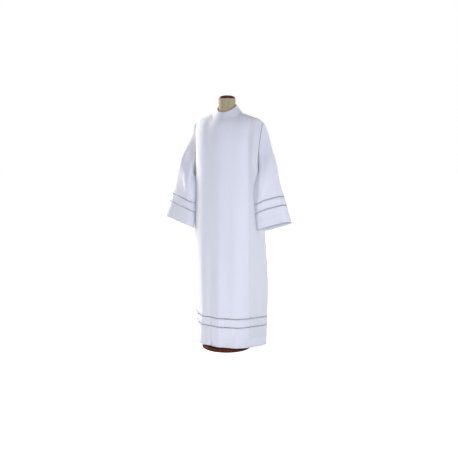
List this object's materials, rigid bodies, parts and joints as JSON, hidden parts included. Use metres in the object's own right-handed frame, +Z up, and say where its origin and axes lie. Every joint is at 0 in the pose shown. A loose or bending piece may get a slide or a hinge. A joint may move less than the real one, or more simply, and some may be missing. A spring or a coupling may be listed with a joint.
{
  "type": "alb robe on dress form",
  "caption": "Long white wide-sleeved robe with a band collar, flat front pleats and openwork bands, worn by a limbless dress form on a round wooden base.",
  "frame": {"origin": "centre of the round base's underside, on the floor", "axes": "+Z up along the form's pole; the robe's front faces -Y; the wearer's left sleeve is on +X"},
  "size_m": [0.8882, 0.3426, 1.6065],
  "materials": {
    "cloth": "matt white poly-cotton",
    "linen": "matt beige linen",
    "dark_wood": "dark varnished turned wood"
  },
  "bodies": {
    "root": {"front": "cloth", "back": "cloth", "sleeve_left": "cloth", "sleeve_right": "cloth", "collar": "cloth", "form_torso": "linen", "neck_cap": "dark_wood", "pole": "dark_wood", "base": "dark_wood"}
  },
  "joints": []
}
